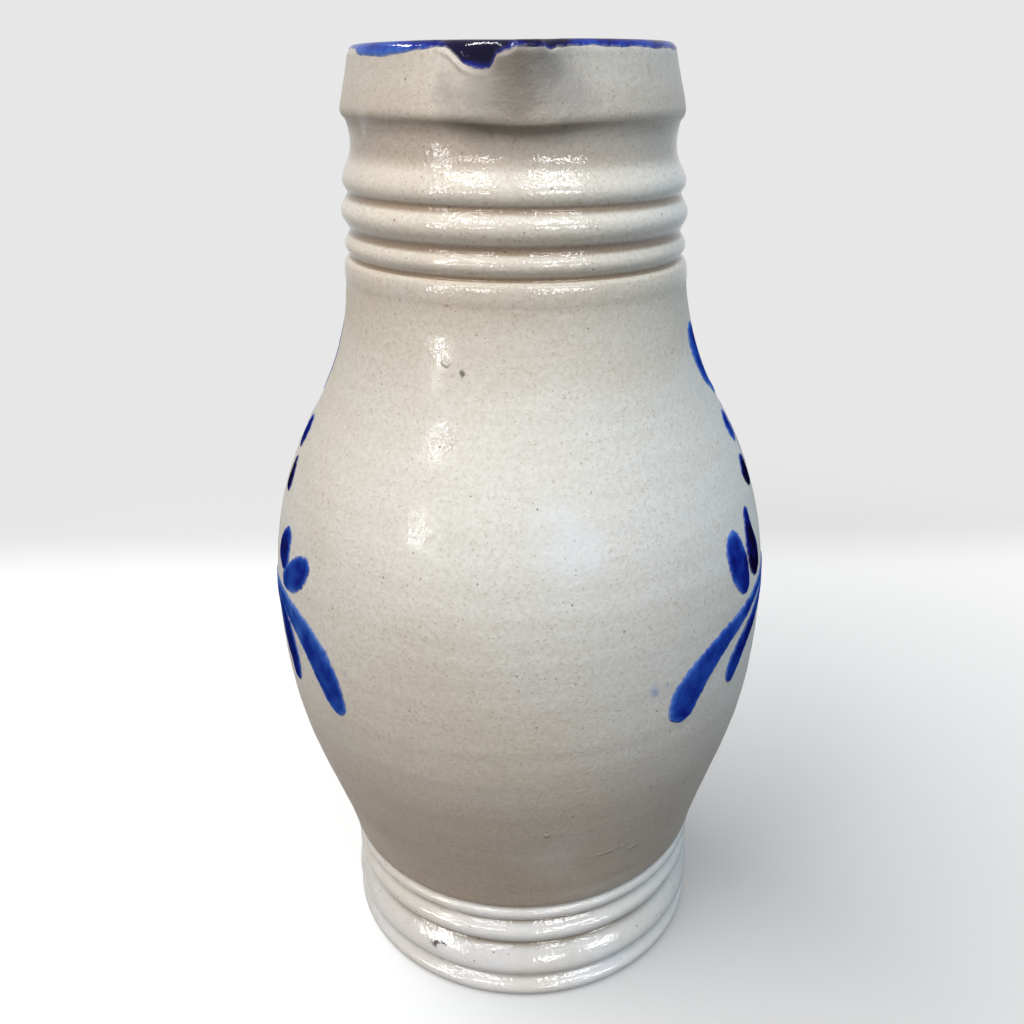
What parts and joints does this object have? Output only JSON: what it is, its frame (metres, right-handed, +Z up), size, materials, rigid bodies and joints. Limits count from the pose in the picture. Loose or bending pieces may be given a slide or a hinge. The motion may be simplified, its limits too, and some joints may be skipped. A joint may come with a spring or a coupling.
{
  "type": "stoneware pitcher",
  "caption": "Salt-glazed stoneware pitcher with a full belly, ringed neck, pinched pouring lip, strap handle and brushed cobalt leaf sprays.",
  "frame": {"origin": "centre of the flat underside of the foot", "axes": "+Z up along the throwing axis, -Y towards the pouring lip, +Y towards the handle"},
  "size_m": [0.1516, 0.1713, 0.277],
  "materials": {
    "salt_glaze": "grey-beige salt glaze with an orange-peel texture and iron specks",
    "foot_glaze": "thicker, whiter and glossier salt glaze on the turned foot",
    "cobalt_slip": "cobalt slip under the glaze, bright blue where thin and navy where it pools"
  },
  "bodies": {
    "root": {"foot": "foot_glaze", "belly": "salt_glaze", "neck": "salt_glaze", "rim_collar": "salt_glaze", "strap_handle": "salt_glaze", "handle_upper_lute": "salt_glaze", "handle_lower_lute": "salt_glaze", "rim_cobalt": "cobalt_slip", "left_stem": "cobalt_slip", "right_stem": "cobalt_slip", "left_front_leaf_1": "cobalt_slip", "left_front_leaf_2": "cobalt_slip", "left_front_leaf_3": "cobalt_slip", "left_front_leaf_4": "cobalt_slip", "left_front_leaf_5": "cobalt_slip", "left_front_leaf_6": "cobalt_slip", "left_front_leaf_7": "cobalt_slip", "left_back_leaf_1": "cobalt_slip", "left_back_leaf_2": "cobalt_slip", "left_back_leaf_3": "cobalt_slip", "left_back_leaf_4": "cobalt_slip", "left_back_leaf_5": "cobalt_slip", "left_back_leaf_6": "cobalt_slip", "left_back_leaf_7": "cobalt_slip", "right_front_leaf_1": "cobalt_slip", "right_front_leaf_2": "cobalt_slip", "right_front_leaf_3": "cobalt_slip", "right_front_leaf_4": "cobalt_slip", "right_front_leaf_5": "cobalt_slip", "right_front_leaf_6": "cobalt_slip", "right_front_leaf_7": "cobalt_slip", "right_back_leaf_1": "cobalt_slip", "right_back_leaf_2": "cobalt_slip", "right_back_leaf_3": "cobalt_slip", "right_back_leaf_4": "cobalt_slip", "right_back_leaf_5": "cobalt_slip", "right_back_leaf_6": "cobalt_slip", "right_back_leaf_7": "cobalt_slip"}
  },
  "joints": []
}
